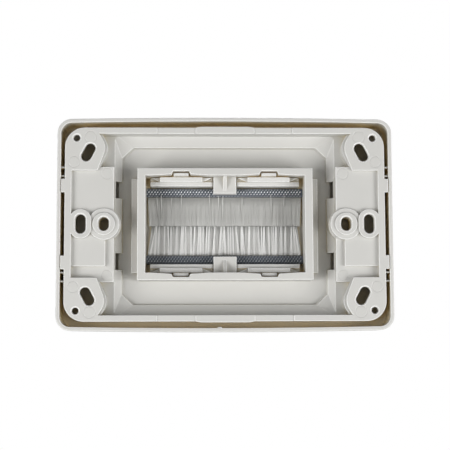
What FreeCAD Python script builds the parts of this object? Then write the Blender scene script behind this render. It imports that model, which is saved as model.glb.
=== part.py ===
"""Brush wall plate: a clip-on cover plate, the mounting plate behind it, and a brush insert.

X runs along the plate, Z is up, and the wall lies at y = 0 behind the part.
The front of the plate faces -Y, so a depth d in the cells below is the plane y = -d.
The origin is the middle of the face that meets the wall.
"""

import FreeCAD, Part
import math
import os
import re
import Sketcher

Vector = FreeCAD.Vector

# Driving sizes in millimetres, counts and angles in degrees: name, value, meaning.
CELLS = [
    # Cover plate
    ("plate_bow", 0.6, "outward bow of the two long edges"),
    ("plate_corner", 5.0, "radius of the cover plate's corners"),
    ("plate_wall", 1.3, "wall of the cover plate's rim"),
    ("plate_rear", 0.3, "set-back of the rim from the wall"),
    ("plate_front", 12.0, "depth of the cover plate's front face"),
    ("plate_face", 1.5, "thickness of the cover plate's face"),
    ("plate_edge", 1.8, "rounding of the front edge"),
    ("rim_edge", 0.35, "rounding of the rim's outer rear edge"),
    ("window_clearance", 0.25, "gap between the window and the insert's bezel"),
    ("rib_thick", 0.5, "thickness of the locating ribs in the rim"),
    ("rib_start_gap", 1.15, "gap from an ear's end to the first rib"),
    ("rib_pitch", 3.0, "pitch of the two ribs"),
    ("rib_start", 0.9, "depth where the ribs begin"),
    ("lug_thick", 1.3, "depth of a snap lug"),
    ("gate_place", 2.0, "place of the gate's stub along the lower rim"),
    ("gate_wide", 1.4, "width of the gate's stub"),
    ("gate_high", 0.4, "height of the gate's stub above the rim's inner face"),
    # Mounting plate
    ("grid_corner", 6.8, "radius of the mounting plate's corners"),
    ("grid_wall", 1.3, "wall of the mounting plate's moulding"),
    ("wall_drop", 0.6, "depth step between the two faces of a sloped wall"),
    ("plate_gap", 0.2, "gap between the mounting plate and the cover's face"),
    ("bulge_half", 10.3, "half length of the outward step in the long edges"),
    ("bulge_run", 2.0, "length of the slope at each end of the step"),
    ("bulge_out", 0.35, "height of the outward step"),
    ("relief_long", 13.2, "length of the shallow reliefs in the rim band"),
    ("relief_deep", 0.25, "depth of the shallow reliefs"),
    ("rim_band", 2.1, "width of the flat band along the long edges"),
    ("rim_slope", 3.75, "run of the slope from the rim band down to the crest"),
    ("lip_slope", 2.4, "run of the lip from the crest out to the ledge"),
    ("rail_inset", 3.2, "run from the outer fixing slot to the rail"),
    ("rail_width", 2.3, "width of the flat rail along the short edges"),
    ("side_gap", 1.45, "gap between the mounting plate and the cover's short sides"),
    ("end_gap", 1.75, "gap between the mounting plate and the cover's long sides"),
    ("ear_inner", 11.0, "lower end of an ear, from the middle"),
    ("ear_long", 4.65, "length of an ear"),
    ("ear_gap", 0.2, "gap between an ear and the cover's rim"),
    ("snap_gap", 0.2, "gap between a lug and the pieces that trap it"),
    ("snap_grip", 0.3, "overlap of a lug with the wedge on the skirt"),
    ("lug_reach", 1.0, "reach of a lug in from the rim"),
    # Corner pads and side ledges
    ("pad_top_run", 5.2, "run from the ledge's inner edge to the pad at the rim band"),
    ("pad_nose_run", 2.4, "run from the ledge's inner edge to the pad's nose"),
    ("pad_nose_drop", 4.35, "drop from the rim band to the pad's nose"),
    ("pad_heel_run", 5.7, "run from the ledge's inner edge to the pad's heel"),
    ("pad_heel_drop", 1.4, "drop from the ledge's end to the pad's heel"),
    ("pad_radius", 6.0, "radius of the pad's nose"),
    ("pad_step", 0.9, "width of the second step round a pad"),
    ("ledge_deep", 1.2, "depth of the side ledges"),
    ("pad_side", 7.2, "height of the pad's leaning side"),
    ("band_deep", 2.4, "depth of the lower band beside the ledges"),
    ("band_run", 2.9, "width of the lower band beside the lip"),
    ("band_high", 4.0, "height of the lower band under the ledge"),
    ("band_start", 3.0, "start of the lower band under the screw boss"),
    # Dish and well
    ("dish_deep", 5.7, "depth of the dish under the rim band"),
    ("dish_chamfer", 1.0, "chamfer of the dish's outer corners"),
    ("well_rise", 1.6, "rise from the well's floor to the eight-sided crest"),
    ("well_run", 0.3, "run of the well's steep wall"),
    ("crest_chamfer_x", 3.9, "chamfer of the crest's corners along X"),
    ("crest_chamfer_z", 3.75, "chamfer of the crest's corners along Z"),
    ("floor_side", 3.1, "floor left beside the shoulder"),
    ("floor_end", 8.1, "floor left above and below the collar"),
    ("slit_inset", 0.25, "inset of the slits from the ledge's inner edge"),
    ("slit_wide", 0.95, "width of the slits"),
    ("notch_inner", 9.6, "lower end of a lip notch, from the middle"),
    ("notch_long", 6.0, "length of a lip notch"),
    # Collar
    ("collar_wall_x", 2.7, "wall of the collar's short sides"),
    ("collar_wall_z", 2.5, "wall of the collar's long sides"),
    ("opening_width", 55.4, "width of the opening in the collar"),
    ("opening_height", 33.8, "height of the opening in the collar"),
    ("shoulder_width", 2.4, "width of the shoulder beside the collar"),
    ("shoulder_inset", 2.8, "height that the shoulder leaves free at each end of the collar"),
    ("tab_width", 8.0, "width of the centre tabs"),
    ("tab_cover", 0.85, "height of a brush head that a tab leaves free"),
    ("tab_thick", 4.3, "thickness of a tab"),
    ("tab_rib_wide", 1.2, "width of the rib on a tab"),
    ("tab_rib_deep", 1.6, "depth of the rib's top at the collar"),
    ("tab_rib_inset", 1.1, "length of a tab that its rib leaves free"),
    ("latch_place", 15.3, "place of the latches along X"),
    ("latch_notch_wide", 6.6, "width of a latch notch"),
    ("latch_notch_high", 1.5, "height of a latch notch"),
    ("latch_notch_lean", 0.5, "lean of a latch notch's sides"),
    ("latch_relief_run", 7.0, "length of the relief at each side of a latch notch"),
    ("latch_relief_high", 0.4, "height of that relief at the notch"),
    ("latch_notch_deep", 5.2, "depth of a latch notch's floor"),
    # Fixing holes
    ("inner_slot_inset", 3.4, "run from the ledge's inner edge to the inner fixing slot"),
    ("inner_slot_long", 4.8, "length of an inner fixing slot"),
    ("inner_slot_wide", 3.6, "width of an inner fixing slot"),
    ("inner_boss", 10.9, "diameter of the boss round an inner slot"),
    ("inner_boss_top", 7.8, "diameter of the raised face on that boss"),
    ("inner_boss_step", 0.5, "step between the two"),
    ("boss_skirt", 0.4, "step from that boss out to its skirt"),
    ("boss_skirt_deep", 2.8, "depth where the skirt begins"),
    ("slot_pitch", 8.0, "pitch of the inner and outer fixing slots"),
    ("outer_slot_long", 6.7, "length of an outer fixing slot"),
    ("outer_slot_wide", 3.6, "width of an outer fixing slot"),
    ("outer_boss_wide", 7.5, "width of the boss round an outer slot"),
    ("outer_boss_long", 10.2, "length of that boss"),
    ("corner_slot_run", 8.9, "run from the ledge's inner edge to a corner slot"),
    ("corner_slot_drop", 6.55, "drop from the rim band to a corner slot"),
    ("corner_slot_long", 6.6, "length of a corner slot"),
    ("corner_slot_wide", 3.6, "width of a corner slot"),
    ("pin_inset", 1.7, "run from the rail to a small corner hole"),
    ("pin_drop", 1.55, "drop from the rim band to a small corner hole"),
    ("pin_hole", 2.3, "diameter of the small corner holes"),
    ("hole_chamfer", 0.3, "chamfer round the fixing holes"),
    # Brush insert
    ("bezel_over", 0.1, "overhang of the bezel past the collar"),
    ("bezel_corner", 1.2, "radius of the bezel's corners"),
    ("bezel_proud", 0.6, "height of the bezel above the cover plate"),
    ("bezel_gap", 0.1, "gap between the bezel and the mounting plate"),
    ("bezel_face", 1.3, "thickness of the bezel in front of the brushes"),
    ("bezel_edge", 0.5, "rounding of the bezel's front edge"),
    ("aperture_side", 2.4, "bezel left beside the opening"),
    ("head_cover", 0.25, "height of a brush's root that the bezel covers"),
    ("channel_end", 1.6, "length that the channel walls leave free at each end"),
    ("channel_wall", 1.4, "thickness of the channel walls"),
    ("channel_lip", 3.7, "height of the channel walls behind a brush head"),
    ("tongue_wide", 14.7, "width of a latch tongue"),
    ("tongue_thick", 1.55, "thickness of a latch tongue"),
    ("tongue_rear", 3.4, "depth of a tongue's end"),
    ("root_drop", 0.8, "drop from the channel wall to the root of the tongues"),
    ("gusset_rise", 1.0, "rise of the gussets beside a tongue above its root"),
    ("fit_gap", 0.2, "gap between the insert and what it slides in"),
    ("hook_reach", 1.25, "reach of a latch hook"),
    ("hook_deep", 1.5, "depth of a latch hook's end"),
    ("hook_gap", 0.35, "groove between a tongue's end and its hook"),
    # Brush strips
    ("head_high", 3.3, "height of a brush head"),
    ("head_thick", 2.5, "thickness of a brush head"),
    ("head_round", 0.9, "rounding of a brush head"),
    ("head_play", 0.1, "gap in front of and behind a brush head"),
    ("bristle_part", 0.3, "gap where the two banks meet"),
    ("bristle_thick", 1.5, "thickness of a bank of bristles"),
    ("bristle_inset", 0.5, "inset of a bank's ends in the collar's opening"),
    ("bristle_root", 3.0, "height of the close part of a bank"),
    ("upper_tufts", 36, "tufts in the upper bank"),
    ("lower_tufts", 26, "tufts in the lower bank"),
    ("upper_tip", 0.9, "share of its pitch that an upper tuft keeps at its tip"),
    ("lower_tip", 0.55, "share of its pitch that a lower tuft keeps at its tip"),
]

doc = FreeCAD.newDocument("BrushWallPlate")
sizes = doc.addObject("Spreadsheet::Sheet", "Sizes")
for row, (name, number, meaning) in enumerate(CELLS, start=1):
    sizes.set(f"A{row}", name)
    sizes.set(f"B{row}", str(number))
    sizes.set(f"C{row}", meaning)
    sizes.setAlias(f"B{row}", name)
doc.recompute()

# Places that several pieces share, as formulas of the cells: depths from the wall.
CAVITY_DEEP = "(plate_front - plate_face)"
GRID_FRONT = f"({CAVITY_DEEP} - plate_gap)"
FLOOR_DEEP = f"({GRID_FRONT} - grid_wall)"
CREST_DEEP = f"({FLOOR_DEEP} - well_rise)"
BEZEL_REAR = f"({GRID_FRONT} + bezel_gap)"
BEZEL_FRONT = "(plate_front + bezel_proud)"
HEAD_FRONT = f"({BEZEL_FRONT} - bezel_face - head_play)"
HEAD_REAR = f"({HEAD_FRONT} - head_thick)"
CHANNEL_REAR = f"({HEAD_REAR} - channel_lip)"
TAB_DEEP = f"({HEAD_REAR} - head_play - tab_thick)"

# Places along X, from the middle outward.
APERTURE_SIDE = "(opening_width / 2 - aperture_side)"
CHANNEL_SIDE = "(opening_width / 2 - channel_end)"
BRISTLE_SIDE = "(opening_width / 2 - bristle_inset)"
TAB_GAP = "(tab_width / 2 + fit_gap)"
HOOK_WIDE = "(latch_notch_wide - 2 * latch_notch_lean - 2 * fit_gap)"
COLLAR_SIDE = "(opening_width / 2 + collar_wall_x)"
BEZEL_SIDE = f"({COLLAR_SIDE} + bezel_over)"
SHOULDER_SIDE = f"({COLLAR_SIDE} + shoulder_width)"
FLOOR_SIDE = f"({SHOULDER_SIDE} + floor_side)"
CREST_SIDE = f"({FLOOR_SIDE} + well_run)"
LEDGE_INNER = f"({CREST_SIDE} + lip_slope)"
SLIT_OUTER = f"({LEDGE_INNER} - slit_inset)"
PAD_NOSE = f"({LEDGE_INNER} + pad_nose_run)"
BAND_SIDE = f"({LEDGE_INNER} + band_run)"
PAD_TOP = f"({LEDGE_INNER} + pad_top_run)"
PAD_HEEL = f"({LEDGE_INNER} + pad_heel_run)"
INNER_SLOT = f"({LEDGE_INNER} + inner_slot_inset)"
CORNER_SLOT_X = f"({LEDGE_INNER} + corner_slot_run)"
OUTER_SLOT = f"({INNER_SLOT} + slot_pitch)"
RAIL_INNER = f"({OUTER_SLOT} + rail_inset)"
PIN_X = f"({RAIL_INNER} - pin_inset)"
GRID_SIDE = f"({RAIL_INNER} + rail_width)"
CAVITY_SIDE = f"({GRID_SIDE} + side_gap)"
PLATE_SIDE = f"({CAVITY_SIDE} + plate_wall)"
RELIEF_END = "(bulge_half + relief_long)"

# Places along Z, from the middle outward.
TONGUE_FACE = "(opening_height / 2 - fit_gap)"
CHANNEL_FACE = f"({TONGUE_FACE} - tongue_thick)"
CHANNEL_SEAT = f"({CHANNEL_FACE} - channel_wall)"
HEAD_OUTER = f"({CHANNEL_SEAT} - fit_gap)"
HEAD_INNER = f"({HEAD_OUTER} - head_high)"
APERTURE_TOP = f"({HEAD_INNER} - head_cover)"
TAB_END = f"({HEAD_INNER} + tab_cover)"
TAB_RIB_END = f"({TAB_END} + tab_rib_inset)"
EAR_OUTER = "(ear_inner + ear_long)"
RIB_INNER = f"({EAR_OUTER} + rib_start_gap)"
RIB_OUTER = f"({RIB_INNER} + rib_pitch)"
NOTCH_OUTER = "(notch_inner + notch_long)"
COLLAR_TOP = "(opening_height / 2 + collar_wall_z)"
BEZEL_TOP = f"({COLLAR_TOP} + bezel_over)"
FLOOR_TOP = f"({COLLAR_TOP} + floor_end)"
CREST_TOP = f"({FLOOR_TOP} + well_run)"
RECESS_TOP = f"({CREST_TOP} + rim_slope)"
PIN_Z = f"({RECESS_TOP} - pin_drop)"
CORNER_SLOT_Z = f"({RECESS_TOP} - corner_slot_drop)"
PAD_NOSE_UP = f"({RECESS_TOP} - pad_nose_drop)"
LEDGE_TOP = f"({PAD_NOSE_UP} - pad_side)"
PAD_HEEL_UP = f"({LEDGE_TOP} - pad_heel_drop)"
BAND_TOP = f"({PAD_HEEL_UP} - band_high)"
GRID_TOP = f"({RECESS_TOP} + rim_band)"
CAVITY_TOP = f"({GRID_TOP} + end_gap)"
PLATE_TOP = f"({CAVITY_TOP} + plate_wall)"

# Signs of X and Z for what stands at all four corners.
SIGNS = [(1, 1), (1, -1), (-1, 1), (-1, -1)]


def cell(formula):
    """Points each name in a formula at the sheet of sizes."""
    return re.sub(r"\b([a-z]\w+)\b(?!\()", r"Sizes.\1", formula)


def value(formula):
    """The number that a formula gives now."""
    return float(sizes.evalExpression(formula))


def fixed(sketch, kind, element, point, formula):
    """Ties one coordinate of a sketch point to a formula."""
    number = sketch.addConstraint(
        Sketcher.Constraint(kind, -1, 1, element, point, value(formula))
    )
    sketch.setExpression(f"Constraints[{number}]", cell(formula))


def measured(sketch, kind, element, formula):
    """Ties a radius or a diameter to a formula."""
    number = sketch.addConstraint(Sketcher.Constraint(kind, element, value(formula)))
    sketch.setExpression(f"Constraints[{number}]", cell(formula))


def sketch_at(body, name, depth, role="XZ_Plane"):
    """A sketch on an origin plane of its body, moved forward by a depth."""
    sketch = body.newObject("Sketcher::SketchObject", name)
    plane = next(item for item in body.Origin.OriginFeatures if item.Role == role)
    sketch.AttachmentSupport = [(plane, "")]
    sketch.MapMode = "FlatFace"
    sketch.setExpression("AttachmentOffset.Base.z", cell(depth))
    return sketch


def polygon(sketch, corners):
    """A closed outline of straight lines through corners given as formulas."""
    places = [(value(across), value(up)) for across, up in corners]
    lines = []
    for number, start in enumerate(places):
        end = places[(number + 1) % len(places)]
        line = Part.LineSegment(Vector(*start, 0), Vector(*end, 0))
        lines.append(sketch.addGeometry(line, False))
    for number, line in enumerate(lines):
        following = lines[(number + 1) % len(lines)]
        sketch.addConstraint(Sketcher.Constraint("Coincident", line, 2, following, 1))
    for line, (across, up) in zip(lines, corners):
        fixed(sketch, "DistanceX", line, 1, across)
        fixed(sketch, "DistanceY", line, 1, up)


def rectangle(sketch, left, right, bottom, top):
    """A rectangle between four formulas."""
    polygon(sketch, [(left, bottom), (right, bottom), (right, top), (left, top)])


def four_way(sketch, quarter):
    """A closed outline from the corners of its first quarter, mirrored left and down."""
    down = [(across, f"-({up})") for across, up in reversed(quarter)]
    opposite = [(f"-({across})", f"-({up})") for across, up in quarter]
    left = [(f"-({across})", up) for across, up in reversed(quarter)]
    polygon(sketch, quarter + down + opposite + left)


def rounded_rectangle(sketch, half_width, half_height, radius, across="0", up="0"):
    """A rectangle with round corners about a point."""
    arcs = []
    for side, high, start in ((1, 1, 0), (-1, 1, 90), (-1, -1, 180), (1, -1, 270)):
        along = f"({across} + {side} * ({half_width} - {radius}))"
        above = f"({up} + {high} * ({half_height} - {radius}))"
        middle = Vector(value(along), value(above), 0)
        ring = Part.Circle(middle, Vector(0, 0, 1), value(radius))
        arc = Part.ArcOfCircle(ring, math.radians(start), math.radians(start + 90))
        arcs.append((sketch.addGeometry(arc, False), along, above))
    for number in range(4):
        this, following = arcs[number][0], arcs[(number + 1) % 4][0]
        side = Part.LineSegment(sketch.getPoint(this, 2), sketch.getPoint(following, 1))
        line = sketch.addGeometry(side, False)
        sketch.addConstraint(Sketcher.Constraint("Tangent", this, 2, line, 1))
        sketch.addConstraint(Sketcher.Constraint("Tangent", line, 2, following, 1))
        sketch.addConstraint(Sketcher.Constraint("Vertical" if number % 2 else "Horizontal", line))
    for arc, along, above in (arcs[0], arcs[2]):
        fixed(sketch, "DistanceX", arc, 3, along)
        fixed(sketch, "DistanceY", arc, 3, above)
    measured(sketch, "Radius", arcs[0][0], radius)


def bowed_rectangle(sketch, half_width, half_height, bow):
    """A rectangle whose two long edges are arcs that bow outward."""
    radius = f"((pow({half_width}; 2) + pow({bow}; 2)) / (2 * {bow}))"
    half, rise, turn = value(half_width), value(half_height), value(radius)
    bulge = value(bow)
    spread = math.asin(half / turn)
    places = [(half, -rise), (half, rise), (-half, rise), (-half, -rise)]
    right = sketch.addGeometry(Part.LineSegment(Vector(*places[0]), Vector(*places[1])), False)
    left = sketch.addGeometry(Part.LineSegment(Vector(*places[2]), Vector(*places[3])), False)
    above = Part.Circle(Vector(0, rise + bulge - turn, 0), Vector(0, 0, 1), turn)
    below = Part.Circle(Vector(0, turn - rise - bulge, 0), Vector(0, 0, 1), turn)
    upright = math.pi / 2
    top = sketch.addGeometry(Part.ArcOfCircle(above, upright - spread, upright + spread), False)
    bottom = sketch.addGeometry(Part.ArcOfCircle(below, -upright - spread, -upright + spread), False)
    for first, second in ((right, top), (top, left), (left, bottom), (bottom, right)):
        sketch.addConstraint(Sketcher.Constraint("Coincident", first, 2, second, 1))
    for line, side, up in ((right, 1, -1), (left, -1, 1)):
        fixed(sketch, "DistanceX", line, 1, f"{side} * {half_width}")
        fixed(sketch, "DistanceY", line, 1, f"{up} * {half_height}")
        fixed(sketch, "DistanceX", line, 2, f"{side} * {half_width}")
        fixed(sketch, "DistanceY", line, 2, f"{-up} * {half_height}")
    for arc in (top, bottom):
        measured(sketch, "Radius", arc, radius)


def slot(sketch, across, up, run, rise, radius):
    """A slot with round ends whose centres lie (run, rise) either side of a point."""
    centres = [(f"({across} + {run})", f"({up} + {rise})"), (f"({across} - {run})", f"({up} - {rise})")]
    lean = math.atan2(value(rise), value(run))
    arcs = []
    for number, (along, high) in enumerate(centres):
        circle = Part.Circle(Vector(value(along), value(high), 0), Vector(0, 0, 1), value(radius))
        start = lean - math.pi / 2 + number * math.pi
        arcs.append(sketch.addGeometry(Part.ArcOfCircle(circle, start, start + math.pi), False))
    lines = []
    for number in (0, 1):
        end, start = sketch.getPoint(arcs[number], 2), sketch.getPoint(arcs[1 - number], 1)
        lines.append(sketch.addGeometry(Part.LineSegment(end, start), False))
    for number in (0, 1):
        sketch.addConstraint(Sketcher.Constraint("Tangent", arcs[number], 2, lines[number], 1))
        sketch.addConstraint(Sketcher.Constraint("Tangent", lines[number], 2, arcs[1 - number], 1))
    for arc, (along, high) in zip(arcs, centres):
        fixed(sketch, "DistanceX", arc, 3, along)
        fixed(sketch, "DistanceY", arc, 3, high)
    measured(sketch, "Radius", arcs[0], radius)


def circle(sketch, across, up, diameter):
    """A circle about a point."""
    middle = Vector(value(across), value(up), 0)
    ring = sketch.addGeometry(Part.Circle(middle, Vector(0, 0, 1), value(diameter) / 2), False)
    fixed(sketch, "DistanceX", ring, 3, across)
    fixed(sketch, "DistanceY", ring, 3, up)
    measured(sketch, "Diameter", ring, diameter)


def checked(body, feature, before, grows):
    """Recomputes a feature and makes sure that it added or removed material."""
    doc.recompute()
    change = feature.Shape.Volume - before
    if feature.State != ["Up-to-date"] or change * (1 if grows else -1) <= 0:
        raise RuntimeError(f"{body.Name}.{feature.Name}: {feature.State}, change {change:.3f}")
    body.Tip = feature
    return feature


def volume(body):
    """The body's volume so far."""
    return body.Tip.Shape.Volume if body.Tip else 0.0


def pad(body, sketch, length):
    """Adds a sketch's outline, pulled forward by a length."""
    before = volume(body)
    feature = body.newObject("PartDesign::Pad", f"{sketch.Name}Pad")
    feature.Profile = sketch
    feature.setExpression("Length", cell(length))
    return checked(body, feature, before, True)


def pocket(body, sketch, length):
    """Cuts a sketch's outline, pushed forward by a length."""
    before = volume(body)
    feature = body.newObject("PartDesign::Pocket", f"{sketch.Name}Pocket")
    feature.Profile = sketch
    feature.Reversed = True
    feature.setExpression("Length", cell(length))
    return checked(body, feature, before, False)


def loft(body, kind, first, second):
    """Adds or cuts the straight-sided solid between two outlines."""
    before = volume(body)
    feature = body.newObject(f"PartDesign::{kind}Loft", f"{first.Name}Loft")
    feature.Profile = first
    feature.Sections = [second]
    feature.Ruled = True
    return checked(body, feature, before, kind == "Additive")


def edges_where(shape, test):
    """Names of the edges whose two ends pass a test."""
    return [
        f"Edge{number}"
        for number, edge in enumerate(shape.Edges, start=1)
        if len(edge.Vertexes) == 2 and test(edge.Vertexes[0].Point, edge.Vertexes[1].Point)
    ]


def near(first, second):
    """Whether two lengths agree to a thousandth."""
    return abs(first - second) < 1e-3


def upright_edges(shape, places):
    """Edges that run along Y at the given places across and up."""
    def runs_there(start, end):
        along = near(start.x, end.x) and near(start.z, end.z)
        return along and any(near(start.x, x) and near(start.z, z) for x, z in places)
    return edges_where(shape, runs_there)


def dress(body, kind, edges, formula):
    """Rounds or chamfers edges of the body's last feature."""
    base = body.Tip
    feature = body.newObject(f"PartDesign::{kind}", f"{base.Name}{kind}")
    feature.Base = (base, edges)
    feature.setExpression("Radius" if kind == "Fillet" else "Size", cell(formula))
    doc.recompute()
    if feature.State != ["Up-to-date"] or near(feature.Shape.Volume, base.Shape.Volume):
        raise RuntimeError(f"{body.Name}.{feature.Name}: {feature.State}")
    body.Tip = feature
    return feature


def new_body(label):
    """An empty body under its node's name."""
    body = doc.addObject("PartDesign::Body", label)
    body.Label = label
    return body


def outside(point):
    """Whether a point of the cover plate's rim lies on its outer outline."""
    side = value(f"{PLATE_SIDE} - plate_wall / 2")
    rise = value(f"{PLATE_TOP} - plate_wall / 2")
    corner = value("plate_corner - plate_wall / 2")
    across, up = abs(point.x) - (side - corner), abs(point.z) - (rise - corner)
    if across > 0 and up > 0:
        return math.hypot(across, up) > corner
    return across > corner or up > corner


def cover_plate():
    """The front moulding: a shallow tray with a window, locating ribs and snap lugs."""
    body = new_body("cover_plate")
    outline = sketch_at(body, "CoverOutline", "plate_rear")
    bowed_rectangle(outline, PLATE_SIDE, PLATE_TOP, "plate_bow")
    pad(body, outline, "plate_front - plate_rear")
    cavity = sketch_at(body, "CoverCavity", "plate_rear")
    bowed_rectangle(cavity, CAVITY_SIDE, CAVITY_TOP, "plate_bow")
    pocket(body, cavity, f"{CAVITY_DEEP} - plate_rear")

    half, rise, wall = value(PLATE_SIDE), value(PLATE_TOP), value("plate_wall")
    inside = [(side * (half - wall), up * (rise - wall)) for side in (1, -1) for up in (1, -1)]
    dress(body, "Fillet", upright_edges(body.Tip.Shape, inside), "plate_corner - plate_wall")
    corners = [(side * half, up * rise) for side in (1, -1) for up in (1, -1)]
    dress(body, "Fillet", upright_edges(body.Tip.Shape, corners), "plate_corner")
    front, rear = -value("plate_front"), -value("plate_rear")
    edges = edges_where(body.Tip.Shape, lambda a, b: near(a.y, front) and near(b.y, front))
    dress(body, "Fillet", edges, "plate_edge")
    edges = edges_where(
        body.Tip.Shape,
        lambda a, b: near(a.y, rear) and near(b.y, rear) and outside(a) and outside(b),
    )
    dress(body, "Fillet", edges, "rim_edge")

    window = sketch_at(body, "CoverWindow", CAVITY_DEEP)
    rounded_rectangle(
        window,
        f"({BEZEL_SIDE} + window_clearance)",
        f"({BEZEL_TOP} + window_clearance)",
        "(bezel_corner + window_clearance)",
    )
    pocket(body, window, "plate_face")

    ribs = sketch_at(body, "LocatingRibs", "rib_start")
    near_end, far_end = f"({GRID_SIDE} + ear_gap / 2)", f"({CAVITY_SIDE} + plate_wall / 2)"
    for side, up in SIGNS:
        for height in (RIB_INNER, RIB_OUTER):
            rectangle(
                ribs,
                f"{side} * {near_end}",
                f"{side} * {far_end}",
                f"{up} * {height} - rib_thick / 2",
                f"{up} * {height} + rib_thick / 2",
            )
    pad(body, ribs, f"{CAVITY_DEEP} - rib_start")

    lugs = sketch_at(body, "SnapLugs", "grid_wall + snap_gap")
    for side, up in SIGNS:
        rectangle(
            lugs,
            f"{side} * ({CAVITY_SIDE} - lug_reach)",
            f"{side} * {far_end}",
            f"{up} * (ear_inner + snap_gap)",
            f"{up} * ({EAR_OUTER} - snap_gap)",
        )
    pad(body, lugs, "lug_thick")

    gate = sketch_at(body, "GateStub", "plate_rear")
    rectangle(
        gate,
        "gate_place - gate_wide / 2",
        "gate_place + gate_wide / 2",
        f"-({CAVITY_TOP} + plate_bow + plate_wall / 2)",
        f"-({CAVITY_TOP} + plate_bow - gate_high)",
    )
    pad(body, gate, "gate_wide")
    return body


def eight_sided(sketch, half_width, half_height, chamfer_x="crest_chamfer_x", chamfer_z="crest_chamfer_z"):
    """A rectangle about the origin with its corners cut off."""
    four_way(sketch, [
        (f"({half_width} - {chamfer_x})", half_height),
        (half_width, f"({half_height} - {chamfer_z})"),
    ])


def pad_outline(sketch, step, ledge):
    """The recess between the corner pads, out to the ledges' inner edge or to the rails."""
    quarter = [
        (f"({PAD_TOP} - {step})", RECESS_TOP),
        (f"({PAD_NOSE} - {step})", PAD_NOSE_UP),
    ]
    if ledge:
        quarter += [(PAD_HEEL, PAD_HEEL_UP), (RAIL_INNER, PAD_HEEL_UP)]
    else:
        quarter += [(f"({PAD_HEEL} - {step})", LEDGE_TOP), (LEDGE_INNER, LEDGE_TOP)]
    four_way(sketch, quarter)


def moulding_skin(body):
    """Adds the walls that lie in front of each recess, all one wall thick."""
    outline = sketch_at(body, "GridOutline", "0")
    rounded_rectangle(outline, GRID_SIDE, GRID_TOP, "grid_corner")
    pad(body, outline, "grid_wall")

    skirt = sketch_at(body, "GridSkirt", "grid_wall")
    rounded_rectangle(skirt, GRID_SIDE, GRID_TOP, "grid_corner")
    rounded_rectangle(
        skirt,
        f"({GRID_SIDE} - grid_wall)",
        f"({GRID_TOP} - grid_wall)",
        "(grid_corner - grid_wall)",
    )
    pad(body, skirt, f"{GRID_FRONT} - grid_wall")

    ledges = sketch_at(body, "LedgeSkin", "grid_wall")
    bands = sketch_at(body, "BandSkin", "ledge_deep + grid_wall")
    for side in (1, -1):
        inner, outer = f"{side} * ({LEDGE_INNER} - grid_wall)", f"{side} * ({RAIL_INNER} + grid_wall)"
        rectangle(ledges, inner, outer, f"-({LEDGE_TOP} + grid_wall)", f"{LEDGE_TOP} + grid_wall")
        rectangle(bands, inner, outer, f"-({LEDGE_TOP} + grid_wall)", "-band_start")
    pad(body, ledges, "ledge_deep")
    pad(body, bands, "band_deep - ledge_deep")

    shelf = sketch_at(body, "ShelfSkin", "grid_wall")
    four_way(shelf, [
        (f"({PAD_TOP} - pad_step + grid_wall)", f"({GRID_TOP} - grid_wall / 2)"),
        (f"({PAD_TOP} - pad_step + grid_wall)", f"({LEDGE_TOP} - grid_wall)"),
        (f"({LEDGE_INNER} + grid_wall)", f"({LEDGE_TOP} - grid_wall)"),
    ])
    pad(body, shelf, "dish_deep")

    first = sketch_at(body, "DishSkin", "dish_deep + wall_drop")
    second = sketch_at(body, "DishSkinEnd", f"{CREST_DEEP} + wall_drop")
    outer = (f"({LEDGE_INNER} + grid_wall)", f"({RECESS_TOP} + grid_wall)")
    crest = (f"({CREST_SIDE} + grid_wall)", f"({CREST_TOP} + grid_wall)")
    eight_sided(first, *outer, "dish_chamfer", "dish_chamfer")
    eight_sided(second, *crest)
    loft(body, "Additive", first, second)
    third = sketch_at(body, "WellSkin", f"{CREST_DEEP} + wall_drop")
    fourth = sketch_at(body, "WellSkinEnd", GRID_FRONT)
    eight_sided(third, *crest)
    eight_sided(fourth, f"({FLOOR_SIDE} + grid_wall)", f"({FLOOR_TOP} + grid_wall)")
    loft(body, "Additive", third, fourth)


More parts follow.
